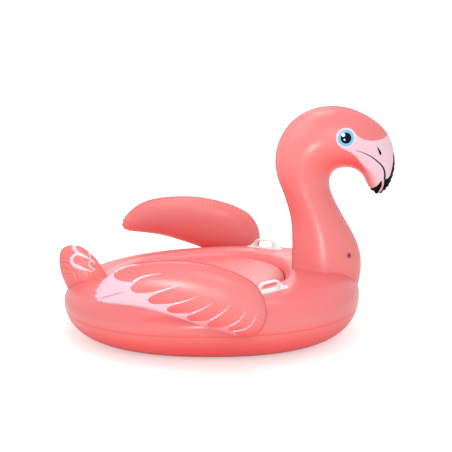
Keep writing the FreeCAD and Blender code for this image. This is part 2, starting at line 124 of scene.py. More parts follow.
# Neck and head, from the root to the beak: the back edge's x and z, the front edge's x and z,
# and half the width.
NECK_STATIONS = [
    (0.345, 0.2, 0.622, 0.16, 0.108),
    (0.349, 0.31, 0.639, 0.265, 0.114),
    (0.348, 0.41, 0.625, 0.368, 0.1055),
    (0.34, 0.492, 0.573, 0.471, 0.096),
    (0.309, 0.598, 0.52, 0.566, 0.09),
    (0.283, 0.668, 0.5, 0.618, 0.0885),
    (0.273, 0.742, 0.499, 0.667, 0.092),
    (0.285, 0.811, 0.517, 0.697, 0.097),
    (0.34, 0.902, 0.555, 0.712, 0.102),
    (0.452, 0.961, 0.597, 0.709, 0.101),
    (0.57, 0.959, 0.627, 0.694, 0.094),
    (0.668, 0.916, 0.647, 0.673, 0.081),
    (0.738, 0.851, 0.659, 0.649, 0.064),
    (0.768, 0.768, 0.67, 0.627, 0.047),
    (0.771, 0.7, 0.682, 0.611, 0.034),
    (0.759, 0.653, 0.696, 0.6, 0.025),
]
BEAK_TIP = (0.034, 0.027)  # how far the tip's round end reaches past each edge's last station

# Tail fin, from the root to the tip: the rear edge, the front edge, half the width.
TAIL_STATIONS = [
    (-0.612, 0.15, -0.452, 0.224, 0.046),
    (-0.629, 0.191, -0.476, 0.262, 0.048),
    (-0.646, 0.236, -0.494, 0.293, 0.044),
    (-0.655, 0.29, -0.517, 0.321, 0.035),
    (-0.65, 0.333, -0.549, 0.349, 0.023),
]
TAIL_TIP = (0.04, 0.034)

# Wing, from the rear to the front: the top edge, the bottom edge, half the thickness.
WING_STATIONS = [
    (-0.396, 0.385, -0.402, 0.292, 0.024),
    (-0.345, 0.422, -0.325, 0.284, 0.034),
    (-0.262, 0.447, -0.243, 0.271, 0.041),
    (-0.16, 0.455, -0.155, 0.245, 0.045),
    (-0.06, 0.45, -0.08, 0.219, 0.047),
    (0.03, 0.431, -0.01, 0.193, 0.047),
    (0.092, 0.411, 0.055, 0.174, 0.046),
    (0.143, 0.386, 0.114, 0.158, 0.043),
]
WING_REAR = (0.058, 0.054)
WING_FRONT = (0.118, 0.135)
WING_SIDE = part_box("wing_left_outer_panel")[0].y  # the plane of the wing's weld

# Valves: the way each one faces, and the sizes of the sheet's flat patch round it.
VALVE_FACING = {"neck": (0.5956, -0.779, 0.1959), "hull": (-0.5633, 0.6883, 0.4571)}
VALVE_STEM_MIDDLE = 0.005  # how deep the middle of the stem lies under the patch
VALVE_OPENING = 0.0092
VALVE_FLANGE = 0.015
VALVE_PATCH = 0.034
VALVE_CLEARANCE = 0.0004

# ---------------------------------------------------------------- curves and grids


def through(rows, places):
    """Natural cubic splines through rows of numbers, read at places from 0 to 1 along them. The last
    number of a row doesn't count towards the length between rows."""
    rows = np.array(rows, float)
    steps = np.linalg.norm(np.diff(rows[:, :-1], axis=0), axis=1)
    knots = np.concatenate([[0], np.cumsum(steps)]) / steps.sum()
    gaps = np.diff(knots)
    size = len(rows)
    system = np.eye(size)
    target = np.zeros_like(rows)
    for i in range(1, size - 1):
        system[i, i - 1] = gaps[i - 1]
        system[i, i] = 2 * (gaps[i - 1] + gaps[i])
        system[i, i + 1] = gaps[i]
        target[i] = 6 * ((rows[i + 1] - rows[i]) / gaps[i] - (rows[i] - rows[i - 1]) / gaps[i - 1])
    bends = np.linalg.solve(system, target)
    span = np.clip(np.searchsorted(knots, places, side="right") - 1, 0, size - 2)
    gap = gaps[span][:, None]
    before = (knots[span + 1] - places)[:, None]
    after = (places - knots[span])[:, None]
    return (
        bends[span] * before**3 / (6 * gap)
        + bends[span + 1] * after**3 / (6 * gap)
        + (rows[span] / gap - bends[span] * gap / 6) * before
        + (rows[span + 1] / gap - bends[span + 1] * gap / 6) * after
    )


def bell(away, width):
    """A smooth bump: 1 where away is 0 and near 0 beyond twice the width."""
    return np.exp(-((away / width) ** 2))


def turns(count):
    """Evenly spaced angles once round."""
    return np.linspace(0, 2 * math.pi, count, endpoint=False)


def unit(vectors):
    """Rows scaled to length one."""
    return vectors / np.maximum(np.linalg.norm(vectors, axis=-1, keepdims=True), 1e-9)


def round_end(start, start_way, end, end_way, reaches, count):
    """A smooth turn from start to end, as a cubic Bezier curve without its two ends."""
    share = np.linspace(0, 1, count + 2)[1:-1, None]
    first = start + start_way * reaches[0]
    second = end + end_way * reaches[1]
    return (
        start * (1 - share) ** 3
        + 3 * first * share * (1 - share) ** 2
        + 3 * second * share**2 * (1 - share)
        + end * share**3
    )


def smoothed(values, width, closed):
    """Values along a line, averaged with a Gaussian window that is width samples wide."""
    reach = int(3 * width)
    window = np.exp(-0.5 * (np.arange(-reach, reach + 1) / width) ** 2)
    padded = np.pad(values, reach, mode="wrap" if closed else "edge")
    return np.convolve(padded, window / window.sum(), mode="valid")


def add_object(name, data):
    """A new object in the scene."""
    made = bpy.data.objects.new(name, data)
    bpy.context.scene.collection.objects.link(made)
    return made


def new_object(name, points, faces, material):
    """A smooth-shaded mesh object."""
    mesh = bpy.data.meshes.new(name)
    mesh.from_pydata(points, [], faces)
    mesh.update()
    mesh.polygons.foreach_set("use_smooth", np.ones(len(mesh.polygons), bool))
    piece = add_object(name, mesh)
    mesh.materials.append(material)
    return piece


def store(piece, name, values):
    """Keep one number or one vector for each vertex."""
    values = np.asarray(values, np.float32)
    kind = "FLOAT" if values.ndim == 1 else "FLOAT_VECTOR"
    attribute = piece.data.attributes.new(name, kind, "POINT")
    attribute.data.foreach_set("value" if values.ndim == 1 else "vector", values.ravel())


def grid_faces(rows, columns, closed, flip):
    """Quads of a grid of rows by columns; closed joins the last column to the first."""
    last = columns if closed else columns - 1
    row, column = np.meshgrid(np.arange(rows - 1), np.arange(last), indexing="ij")
    after = (column + 1) % columns
    here = row * columns
    below = here + columns
    corners = [here + column, here + after, below + after, below + column]
    if flip:
        corners.reverse()
    return np.stack(corners, axis=-1).reshape(-1, 4)


def welded_grid(grid, closed, flip):
    """A grid's points and faces with equal points made one, and each point's place in the grid."""
    rows, columns = grid.shape[:2]
    points = grid.reshape(-1, 3)
    keys = np.round(points * 1e6).astype(np.int64)
    first, place = np.unique(keys, axis=0, return_index=True, return_inverse=True)[1:]
    place = place.reshape(-1)
    faces = []
    for face in place[grid_faces(rows, columns, closed, flip)].tolist():
        corners = list(dict.fromkeys(face))
        if len(corners) > 2:
            faces.append(corners)
    return points[first].tolist(), faces, first


def skin(name, grid, material, closed=False, flip=False, stored=()):
    """A thin closed sheet whose outside face is the grid."""
    points, faces, first = welded_grid(grid, closed, flip)
    piece = new_object(name, points, faces, material)
    for label, values in stored:
        values = np.asarray(values)
        store(piece, label, values.reshape(-1, *values.shape[2:])[first])
    store(piece, "rest", np.array(points))
    thick = piece.modifiers.new("sheet", "SOLIDIFY")
    thick.thickness = SHEET
    thick.offset = -1
    thick.use_quality_normals = True
    return piece


def open_for_valve(piece, chamber):
    """Flatten a skin under a valve's flange and open it round the valve's cup."""
    low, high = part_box(chamber + "_valve_stem")
    facing = Vector(VALVE_FACING[chamber])
    middle = (low + high) / 2 + VALVE_STEM_MIDDLE * facing
    mesh = bmesh.new()
    mesh.from_mesh(piece.data)
    inside = set()
    for vertex in mesh.verts:
        off = vertex.co - middle
        height = off.dot(facing)
        outward = off - height * facing
        away = outward.length
        if away > VALVE_PATCH or abs(height) > VALVE_PATCH:
            continue
        share = min(1, (VALVE_PATCH - away) / (VALVE_PATCH - VALVE_FLANGE))
        vertex.co -= share * share * (3 - 2 * share) * (height + VALVE_CLEARANCE) * facing
        if away < VALVE_OPENING:
            inside.add(vertex)
    covered = [face for face in mesh.faces if inside.issuperset(face.verts)]
    bmesh.ops.delete(mesh, geom=covered, context="FACES")
    for vertex in inside:
        if vertex.is_valid and vertex.link_faces:
            off = vertex.co - middle
            height = off.dot(facing)
            outward = (off - height * facing).normalized()
            vertex.co = middle + height * facing + VALVE_OPENING * outward
    loose = [vertex for vertex in mesh.verts if not vertex.link_faces]
    bmesh.ops.delete(mesh, geom=loose, context="VERTS")
    mesh.to_mesh(piece.data)
    mesh.free()


# ---------------------------------------------------------------- two-sheet chambers


def chamber_columns(stations, count, end_reach, start_reach=None):
    """Edge, middle and half width for each column round a chamber: up its first edge, round the
    end and back down its second edge; with start_reach it also turns round the start and closes."""
    rows = through(stations, np.linspace(0, 1, count))
    first = rows[:, 0:2]
    second = rows[:, 2:4]
    half = rows[:, 4]
    middle = (first + second) / 2
    pitch = np.linalg.norm(first[-1] - first[-2])
    turn_count = int(TURN_DENSITY * np.linalg.norm(first[-1] - second[-1]) / pitch)

    def turn(index, inner, here, there, reaches):
        here_way = unit(here[index] - here[inner])
        there_way = unit(there[index] - there[inner])
        return round_end(here[index], here_way, there[index], there_way, reaches, turn_count)

    edges = [first, turn(-1, -2, first, second, end_reach), second[::-1]]
    middles = [middle, np.repeat(middle[-1:], turn_count, axis=0), middle[::-1]]
    halves = [half, np.repeat(half[-1:], turn_count), half[::-1]]
    if start_reach:
        edges.append(turn(0, 1, second, first, start_reach))
        middles.append(np.repeat(middle[:1], turn_count, axis=0))
        halves.append(np.repeat(half[:1], turn_count))
    return np.concatenate(edges), np.concatenate(middles), np.concatenate(halves)


def lobes(length):
    """From 0 at a pinch to 1 between pinches, unevenly spaced along a weld."""
    drift = sum(size * np.sin(length / wave + start) for size, wave, start in PUCKER_DRIFTS)
    return np.abs(np.sin(math.pi * length / PUCKER_LENGTH + drift))


def chamber_sheet(columns, side, rows, closed, depth):
    """The grid of one sheet of a chamber in the XZ plane, from its flat weld in to its middle, with
    each vertex's distance from the weld. side is 1 for the left sheet and -1 for the right one, and
    depth scales the pinches along the weld."""
    edge, middle, half = columns
    if closed:
        ahead = np.roll(edge, -1, axis=0)
        behind = np.roll(edge, 1, axis=0)
    else:
        ahead = np.concatenate([edge[1:], edge[-1:]])
        behind = np.concatenate([edge[:1], edge[:-1]])
    way = unit(ahead - behind)
    across = edge - middle
    outward = np.stack([-way[:, 1], way[:, 0]], axis=1)
    outward *= np.sign((outward * across).sum(axis=1).mean())
    step = np.linalg.norm(ahead - edge, axis=1)
    length = np.concatenate([[0], np.cumsum(step)[:-1]])
    heading = np.unwrap(np.arctan2(way[:, 1], way[:, 0]))
    bend = np.gradient(heading) / np.maximum(step, 1e-5)
    bend = smoothed(bend * np.sign(bend.mean()), BEND_WINDOW / step.mean(), closed)
    strength = depth * np.clip(PUCKER_GROWTH * bend, PUCKER_LEAST, PUCKER_MOST)
    lobe = lobes(length)
    inset = (strength * (1 - lobe))[:, None] * outward
    span = np.linalg.norm(across, axis=1)

    grid = []
    distance = []
    for offset in (WELD_WIDTH, 0.0):
        flat = edge + offset * outward - inset * (1 if offset == 0 else PUCKER_EDGE)
        grid.append(np.stack([flat[:, 0], np.full(len(flat), side * WELD_GAP), flat[:, 1]], axis=1))
        distance.append(np.zeros(len(flat)))
    for angle in np.linspace(math.pi / 2, 0, rows)[1:]:
        reach = math.sin(angle)
        height = half * math.cos(angle) ** CHAMBER_POWER
        away = np.hypot((1 - reach) * span, height)
        fade = bell(away, PUCKER_FADE)
        flat = middle + across * reach - inset * fade[:, None]
        swell = (lobe - PUCKER_LEVEL) * np.minimum(1, strength / PUCKER_FULL) * PUCKER_SWELL
        height = height * (1 + fade * swell)
        grid.append(np.stack([flat[:, 0], side * (height + WELD_GAP), flat[:, 1]], axis=1))
        distance.append(away)
    return np.array(grid), np.array(distance)


def fold(grid, side, folds):
    """Press folds into a chamber's sheet: each is a line in the XZ plane, its depth and its width."""
    places = flat_places(grid)
    for points, depth, width in folds:
        signed, share = to_line(places, curve(points, 30))[:2]
        ends = np.clip(FOLD_FADE * share, 0, 1) * np.clip(FOLD_FADE * (1 - share), 0, 1)
        shoulder = FOLD_SHOULDER * bell(signed, FOLD_SHOULDER_WIDTH * width)
        pressed = depth * ends * (bell(signed, width) - shoulder)
        room = np.abs(grid[:, :, 1].ravel()) - WELD_GAP
        grid[:, :, 1] -= side * np.minimum(pressed, FOLD_LIMIT * room).reshape(grid.shape[:2])


# ---------------------------------------------------------------- hull


def plan(angle, inset):
    """Points of the hull's plan outline moved in by inset, at angles round the middle."""
    long_part = np.abs(np.cos(angle) / (HULL_LENGTH - inset)) ** HULL_ROUNDNESS
    wide_part = np.abs(np.sin(angle) / (HULL_WIDTH - inset)) ** HULL_ROUNDNESS
    radius = (long_part + wide_part) ** (-1 / HULL_ROUNDNESS)
    return radius * np.cos(angle), radius * np.sin(angle)


HULL_ANGLES = turns(HULL_COLUMNS)
SEAM_LENGTH = HULL_ANGLES * (HULL_LENGTH + HULL_WIDTH) / 2
SEAM_LOBES = lobes(SEAM_LENGTH)
SEAT_FOLDS = lobes(SEAM_LENGTH * SEAT_FOLD_PITCH + SEAT_FOLD_START) - SEAT_FOLD_LEVEL


def hull_ring(inset, height, rise):
    """One ring of the hull as points; each argument is a number or one number for each column."""
    x, y = plan(HULL_ANGLES, inset)
    return np.stack([x, y, height + rise * x], axis=1)


def hull_skin(name, rings, distance, material, flip=False):
    """A sheet of the hull's rings, with each ring's distance from the nearest weld."""
    columns = np.array([np.full(HULL_COLUMNS, away) for away in distance])
    return skin(name, np.array(rings), material, closed=True, flip=flip, stored=[("weld", columns)])


def side_groove(away):
    """How far the hull is drawn in by its side weld at a distance from it."""
    pinch = (1 - SEAM_LOBES) * math.exp(-away / GROOVE_FADE)
    return GROOVE_DEPTH * (bell(away, GROOVE_WIDTH) + pinch)


def seat_pinch(depth, away):
    """How far the pinches round the seat raise or lower a sheet at a distance from the seat's weld."""
    return depth * SEAT_FOLDS * bell(away - SEAT_FOLD_MIDDLE, SEAT_FOLD_WIDTH)


def top_rows(places):
    """Inset, height and rise of the upper sheet at places from 0 to 1 along its stations."""
    return through([(*station, 0.0) for station in TOP_STATIONS], places)[:, :3]


def hull_bottom(material):
    """The dished lower sheet, from the side weld down to the middle of the flat."""
    rings = []
    distance = []
    for angle in SEAM_TURN * np.concatenate([np.linspace(1, 0.94, 5)[:-1], np.linspace(0.94, 0, 28)]):
        away = BOTTOM_CORNER * (SEAM_TURN - angle)
        share = (1 - math.cos(angle)) / (1 - math.cos(SEAM_TURN))
        inset = BOTTOM_CORNER * (1 - math.sin(angle) / math.sin(SEAM_TURN)) + side_groove(away)
        rings.append(hull_ring(inset, SEAM_HEIGHT * share, SEAM_RISE * share))
        distance.append(away)
    flat = rings[-1]
    for share in np.linspace(1, 0, 12)[1:]:
        rings.append(flat * share)
        distance.append(1.0)
    return hull_skin("hull_bottom_skin", rings, distance, material, flip=True)


def widened(inset):
    """How much further in a station of the rim lies on the middle line behind the neck."""
    share = np.clip((inset - SEAT_FRONT_FROM) / (SEAT_FRONT_FULL - SEAT_FRONT_FROM), 0, 1)
    return SEAT_FRONT * share**WIDENING_POWER


def seat_inset(inset):
    """The inset for each column, with the seat's weld further in behind the neck."""
    return inset + widened(inset) * np.clip(np.cos(HULL_ANGLES), 0, 1) ** 2


def hull_top(material):
    """The upper sheet, from the side weld over the rim down to the seat's weld."""
    places = np.concatenate([np.linspace(0, 0.03, 6)[:-1], np.linspace(0.03, 1, 58)])
    rows = top_rows(places)
    steps = np.linalg.norm(np.diff(rows[:, :2], axis=0), axis=1)
    from_seam = np.concatenate([[0], np.cumsum(steps)])
    from_seat = from_seam[-1] - from_seam
    rings = []
    distance = []
    for (inset, height, rise), low, high in zip(rows, from_seam, from_seat):
        height = height + seat_pinch(RIM_PINCH, high)
        rings.append(hull_ring(seat_inset(inset) + side_groove(low), height, rise))
        distance.append(min(low, high))
    rings.append(hull_ring(seat_inset(SEAT_WELD), SEAT_WELD_HEIGHT, SEAT_RISE))
    distance.append(0.0)
    return hull_skin("hull_top_skin", rings, distance, material)


def seat(material):
    """The crowned seat sheet inside its weld."""
    weld = hull_ring(seat_inset(SEAT_WELD), 0, 0)
    radius = np.linalg.norm(weld[:, :2], axis=1)
    rings = []
    distance = []
    for share in np.concatenate([np.linspace(1, 0.93, 9)[:-1], np.linspace(0.93, 0, 26)]):
        away = (1 - share) * radius
        dome = SEAT_FLATNESS + (1 - SEAT_FLATNESS) * (1 - share**2)
        crown = SEAT_CROWN * (1 - np.exp(-away / SEAT_SHOULDER)) * dome
        ring = weld * share
        ring[:, 2] = SEAT_WELD_HEIGHT + SEAT_RISE * ring[:, 0] + crown + seat_pinch(SEAT_PINCH, away)
        rings.append(ring)
        distance.append(away)
    return hull_skin("seat_skin", rings, distance, material)


def hull_height(x, y):
    """The height of the hull's upper sheet over points inside its crest line."""
    x = np.asarray(x, float)
    y = np.asarray(y, float)
    front = np.clip(x / np.maximum(np.hypot(x, y), 1e-9), 0, 1) ** 2
    rows = top_rows(np.linspace(0, 1, 240))
    rows = rows[np.argmin(rows[:, 0]):]
    low = np.zeros_like(x)
    high = np.full_like(x, len(rows) - 1.0)
    places = np.arange(len(rows))
    for halving in range(30):
        place = (low + high) / 2
        inset = np.interp(place, places, rows[:, 0])
        inset = inset + widened(inset) * front
        long_part = np.abs(x / (HULL_LENGTH - inset)) ** HULL_ROUNDNESS
        inside = long_part + np.abs(y / (HULL_WIDTH - inset)) ** HULL_ROUNDNESS < 1
        low = np.where(inside, place, low)
        high = np.where(inside, high, place)
    return np.interp(place, places, rows[:, 1]) + np.interp(place, places, rows[:, 2]) * x


# ---------------------------------------------------------------- printed artwork, as distances


def curve(points, count=80):
    """A smooth line through points of the XZ plane."""
    return through([(*point, 0.0) for point in points], np.linspace(0, 1, count))[:, :2]


def outline(points, count):
    """A smooth closed line through points of the XZ plane."""
    return curve(points + points[:1], count)[:-1]


def to_line(places, line):
    """Each place's distance from a line, positive on its left, how far along the line it is from 0 to
    1, and how far it lies past the line's ends."""
    nearest = np.full(len(places), np.inf)
    signed = np.zeros(len(places))
    share = np.zeros(len(places))
    past = np.zeros(len(places))
    for index in range(len(line) - 1):
        start = line[index]
        way = line[index + 1] - start
        off = places - start
        reach = off @ way / (way @ way)
        along = np.clip(reach, 0, 1)
        gap = off - along[:, None] * way
        distance = np.linalg.norm(gap, axis=1)
        closer = distance < nearest
        nearest = np.where(closer, distance, nearest)
        turn = way[0] * off[:, 1] - way[1] * off[:, 0]
        signed = np.where(closer, np.where(turn < 0, -distance, distance), signed)
        share = np.where(closer, (index + along) / (len(line) - 1), share)
        past = np.where(closer, np.abs(reach - along) * np.linalg.norm(way), past)
    past = np.where((share == 0) | (share == 1), past, 0)
    return signed, share, past


def to_shape(places, line):
    """Each place's distance from a closed outline, negative inside it."""
    closed = np.concatenate([line, line[:1]])
    distance = np.abs(to_line(places, closed)[0])
    crossings = np.zeros(len(places), int)
    for start, end in zip(closed[:-1], closed[1:]):
        spans = (start[1] > places[:, 1]) != (end[1] > places[:, 1])
        rise = end[1] - start[1]
        reach = start[0] + (places[:, 1] - start[1]) * (end[0] - start[0]) / (rise if rise else 1)
        crossings += spans & (places[:, 0] < reach)
    return np.where(crossings % 2 == 1, -distance, distance)


def flat_places(grid):
    """The X and Z of every point of a grid, one row each."""
    return grid.reshape(-1, 3)[:, (0, 2)]


def lines_stored(places, shape, strokes):
    """Strokes of (points, width at the start, width at the end), three to a pair of vectors: the
    distances from the three lines and their half widths there."""
    stored = []
    for group in range(0, len(strokes), 3):
        distance = np.full((len(places), 3), 1.0)
        width = np.zeros((len(places), 3))
        for slot, (points, start_width, end_width) in enumerate(strokes[group:group + 3]):
            signed, share, past = to_line(places, curve(points))
            distance[:, slot] = signed
            width[:, slot] = (start_width + (end_width - start_width) * share) / 2 - past
        stored.append(("line_distance_%d" % (group // 3), distance.reshape(*shape, 3)))
        stored.append(("line_width_%d" % (group // 3), width.reshape(*shape, 3)))
    return stored


# ---------------------------------------------------------------- materials

CORAL = (0.795, 0.218, 0.213)
# painted light: the coral laid on upward-facing vinyl, and also the colour of the stripe between the
# beak's black tips
CORAL_PAINTED_LIGHT_AND_TIP_GAP = (0.8, 0.18, 0.185)
# painted shade on downward-facing vinyl and along the welds, and also the deeper end of the ink's random
# tone drift
CORAL_PAINTED_SHADE_AND_DRIFT = (0.88, 0.095, 0.085)
PALE_PINK = (0.83, 0.56, 0.64)
RING_PINK = (0.9, 0.64, 0.76)
WHITE_INK = (0.93, 0.78, 0.85)
EYE_BLUE = (0.18, 0.52, 0.74)
EYE_DARK = (0.003, 0.006, 0.022)
BEAK_BLACK = (0.0025, 0.004, 0.004)
HANDLE_WHITE = (0.86, 0.865, 0.88)
WEB_PINK = (0.85, 0.55, 0.52)
PLUG_PURPLE = (0.03, 0.008, 0.05)
VALVE_PINK = (0.66, 0.17, 0.2)
VINYL_COAT = 0.45
VINYL_SHINE = 0.25
DARK_INK_COAT = 0.05
DARK_INK_SHINE = 0.04
WELD_SHADE = 0.55  # painted shade: how much deeper the colour is right at a weld
WELD_SHADE_REACH = 0.006
EULER = 2.718


class Finish:
    """A Principled material with short ways to add nodes."""

    def __init__(self, name, colour, roughness, carried_over=False):
        self.material = bpy.data.materials.new(name)
        self.material.use_nodes = True
        self.tree = self.material.node_tree
        self.shader = self.tree.nodes["Principled BSDF"]
        self.put("Roughness", roughness)
        self.colour = (*colour, 1)
        self.height = None
        self.carried_over = carried_over

    def node(self, kind, **settings):
        made = self.tree.nodes.new("ShaderNode" + kind)
        for key, value in settings.items():
            setattr(made, key, value)
        return made

    def feed(self, socket, value):
        if isinstance(value, bpy.types.NodeSocket):
            self.tree.links.new(value, socket)
        elif isinstance(value, tuple) and len(value) < len(socket.default_value):
            socket.default_value = (*value, 1)
        else:
            socket.default_value = value

    def put(self, name, value):
        """Feed an input of the Principled shader."""
        self.feed(self.shader.inputs[name], value)

    def stored(self, name):
        """A number kept on the vertices."""
        return self.node("Attribute", attribute_name=name).outputs["Fac"]

    def stored_vector(self, name):
        return self.node("Attribute", attribute_name=name).outputs["Vector"]

    def parts(self, vector):
        """A vector's X, Y and Z."""
        made = self.node("SeparateXYZ")
        self.feed(made.inputs[0], vector)
        return made.outputs

    def calc(self, operation, *values):
        made = self.node("Math", operation=operation)
        for socket, value in zip(made.inputs, values):
            self.feed(socket, value)
        return made.outputs[0]

    def vector(self, operation, *values):
        made = self.node("VectorMath", operation=operation)
        for socket, value in zip(made.inputs, values):
            self.feed(socket, value)
        return made.outputs[0]

    def inside(self, distance, edge=0.0005):
        """1 where a distance is negative, 0 where it is positive, with a short soft edge."""
        return self.ramp(distance, -edge, edge, 1.0, 0.0)

    def ramp(self, value, start, end, low=0.0, high=1.0):
        """A smooth step from low at start to high at end."""
        made = self.node("MapRange", interpolation_type="SMOOTHSTEP")
        for socket, number in zip(made.inputs, (value, start, end, low, high)):
            self.feed(socket, number)
        return made.outputs[0]

    def mix(self, share, first, second):
        made = self.node("Mix", data_type="RGBA")
        self.feed(made.inputs["Factor"], share)
        self.feed(made.inputs["A"], first)
        self.feed(made.inputs["B"], second)
        return made.outputs["Result"]

    def paint(self, share, colour):
        """Lay a colour over what is there."""
        self.colour = self.mix(share, self.colour, colour)
        return self

    def noise(self, scale, detail=2.0):
        made = self.node("TexNoise")
        if self.carried_over:
            place = self.node("TexCoord").outputs["Object"]
        else:
            place = self.stored_vector("rest")
        self.feed(made.inputs["Vector"], place)
        made.inputs["Scale"].default_value = scale
        made.inputs["Detail"].default_value = detail
        return made.outputs["Fac"]

    def bump(self, height, distance):
        made = self.node("Bump")
        made.inputs["Distance"].default_value = distance
        self.feed(made.inputs["Height"], height)
        if self.height is not None:
            self.feed(made.inputs["Normal"], self.height)
        self.height = made.outputs["Normal"]
        self.put("Normal", self.height)

    def done(self):
        self.put("Base Color", self.colour)
        return self.material


def vinyl(name):
    """Glossy soft vinyl: a painted-light tone where it faces up, painted shade below and along the welds,
    and the ink's tone drifts a little."""
    finish = Finish(name, CORAL, 0.36)
    upward = finish.parts(finish.node("NewGeometry").outputs["Normal"])["Z"]
    # painted light and shade: a lit coral where the vinyl faces up and a deep coral where it faces down
    finish.paint(finish.ramp(upward, 0.0, 1.0), CORAL_PAINTED_LIGHT_AND_TIP_GAP)
    finish.paint(finish.ramp(upward, 0.1, -0.8), CORAL_PAINTED_SHADE_AND_DRIFT)
    drift = finish.calc("MULTIPLY_ADD", finish.noise(5.0), 0.24, -0.06)
    finish.paint(drift, CORAL_PAINTED_SHADE_AND_DRIFT)
    # painted shade along the welds, deepest at the weld and fading out over a few millimetres
    weld = finish.calc("DIVIDE", finish.stored("weld"), WELD_SHADE_REACH)
    near = finish.calc("POWER", EULER, finish.calc("MULTIPLY", weld, -1.0))
    finish.paint(finish.calc("MULTIPLY", near, WELD_SHADE), CORAL_PAINTED_SHADE_AND_DRIFT)
    finish.put("Roughness", finish.calc("MULTIPLY_ADD", finish.noise(38.0), 0.12, 0.27))
    finish.put("Specular IOR Level", VINYL_SHINE)
    finish.put("Coat Weight", VINYL_COAT)
    finish.put("Coat Roughness", 0.24)
    finish.bump(finish.noise(9.0, 1.0), 0.0035)
    finish.bump(finish.noise(1400.0), 0.00005)
    return finish


def strokes_inside(finish, count):
    """Where any of the stored strokes is: their distance below their half width."""
    nearest = 1.0
    for group in range((count + 2) // 3):
        distance = finish.vector("ABSOLUTE", finish.stored_vector("line_distance_%d" % group))
        width = finish.stored_vector("line_width_%d" % group)
        for part in finish.parts(finish.vector("SUBTRACT", distance, width)):
            nearest = finish.calc("MINIMUM", nearest, part)
    return finish.inside(nearest, 0.0004)


def plastic(name, colour, roughness, coat=0.0, carried_over=False):
    """Moulded plastic with a faint orange-peel surface."""
    finish = Finish(name, colour, roughness, carried_over)
    deep = tuple(0.86 * part for part in colour)
    finish.paint(finish.calc("MULTIPLY", finish.noise(60.0), 0.5), deep)
    rough = finish.calc("MULTIPLY_ADD", finish.noise(220.0), 0.14, roughness - 0.07)
    finish.put("Roughness", rough)
    finish.put("Coat Weight", coat)
    finish.bump(finish.noise(700.0), 0.00012)
    return finish


coral = vinyl("coral_vinyl").done()
handle_white = plastic("handle_white", HANDLE_WHITE, 0.34, 0.1).done()
web_pink = plastic("web_vinyl", WEB_PINK, 0.45, carried_over=True).done()
valve_finish = plastic("valve_vinyl", VALVE_PINK, 0.3, 0.15, carried_over=True)
valve_finish.put("Transmission Weight", 0.25)
valve_clear = valve_finish.done()
plug_purple = plastic("plug_purple", PLUG_PURPLE, 0.3, 0.2, carried_over=True).done()

# ---------------------------------------------------------------- neck and head

EYE = (0.5576, 0.8489)
EYE_RING = 0.0418
EYE_IRIS = 0.0345
EYE_PUPIL = 0.0228
EYE_GLINTS = [((0.546, 0.8625), 0.0082), ((0.5515, 0.8428), 0.0046)]

BEAK_OUTLINE = [
    (0.5899, 0.877), (0.603, 0.861), (0.62, 0.8475), (0.642, 0.839), (0.671, 0.8345), (0.7, 0.836),
    (0.728, 0.8435), (0.76, 0.862), (0.81, 0.84), (0.82, 0.74), (0.78, 0.6), (0.7, 0.56),
    (0.668, 0.6), (0.6725, 0.6268), (0.6665, 0.654), (0.6575, 0.683), (0.645, 0.7096), (0.628, 0.736),
    (0.61, 0.7595), (0.5918, 0.778), (0.574, 0.7905), (0.5525, 0.8005), (0.5351, 0.8121),
]
UPPER_TIP_OUTLINE = [
    (0.7275, 0.666), (0.733, 0.6645), (0.741, 0.667), (0.7495, 0.6745), (0.755, 0.6863), (0.759, 0.705),
    (0.7625, 0.722), (0.765, 0.7425), (0.768, 0.77), (0.8, 0.75), (0.79, 0.64), (0.74, 0.58),
    (0.7125, 0.585), (0.7155, 0.606), (0.7245, 0.6276), (0.7275, 0.6463),
]
LOWER_TIP_OUTLINE = [
    (0.66, 0.617), (0.674, 0.6195), (0.684, 0.6251), (0.6977, 0.6348), (0.7075, 0.6468), (0.7165, 0.659),
    (0.7195, 0.6463), (0.717, 0.6276), (0.7085, 0.606), (0.704, 0.58), (0.68, 0.58),
]
MOUTH = [
    (0.5995, 0.797), (0.619, 0.791), (0.6432, 0.7805), (0.6654, 0.7686), (0.6881, 0.751), (0.7067, 0.734),
    (0.7205, 0.716), (0.7275, 0.697), (0.7295, 0.68), (0.7297, 0.663),
]
TIP_GAP = [(0.7215, 0.664), (0.7235, 0.646), (0.7205, 0.6276), (0.7105, 0.606), (0.704, 0.59)]
NOSTRIL = [
    (0.685, 0.815), (0.6985, 0.8), (0.7065, 0.7875), (0.7095, 0.7745), (0.7065, 0.7715),
    (0.6985, 0.7835), (0.693, 0.798),
]
HEAD_STROKES = [(MOUTH, 0.0018, 0.009)]
TIP_GAP_HALF = 0.0013


def ring_distance(places, middle, radius):
    """Each place's distance from a circle, negative inside it."""
    return np.linalg.norm(places - np.array(middle), axis=1) - radius


def head_artwork(grid):
    """Distances of every vertex from the printed eye and beak."""
    places = flat_places(grid)
    shape = grid.shape[:2]
    eye = ring_distance(places, EYE, 0.0)
    glint = np.minimum(*[ring_distance(places, middle, radius) for middle, radius in EYE_GLINTS])
    beak = to_shape(places, outline(BEAK_OUTLINE, 160))
    upper = to_shape(places, outline(UPPER_TIP_OUTLINE, 120))
    lower = to_shape(places, outline(LOWER_TIP_OUTLINE, 120))
    nostril = to_shape(places, outline(NOSTRIL, 60))
    tip = np.minimum(np.minimum(upper, lower), nostril)
    gap = np.abs(to_line(places, curve(TIP_GAP))[0]) - TIP_GAP_HALF
    fields = [("eye", eye), ("glint", glint), ("beak", beak), ("tip", tip), ("gap", gap)]
    stored = [(name, field.reshape(shape)) for name, field in fields]
    return stored + lines_stored(places, shape, HEAD_STROKES)


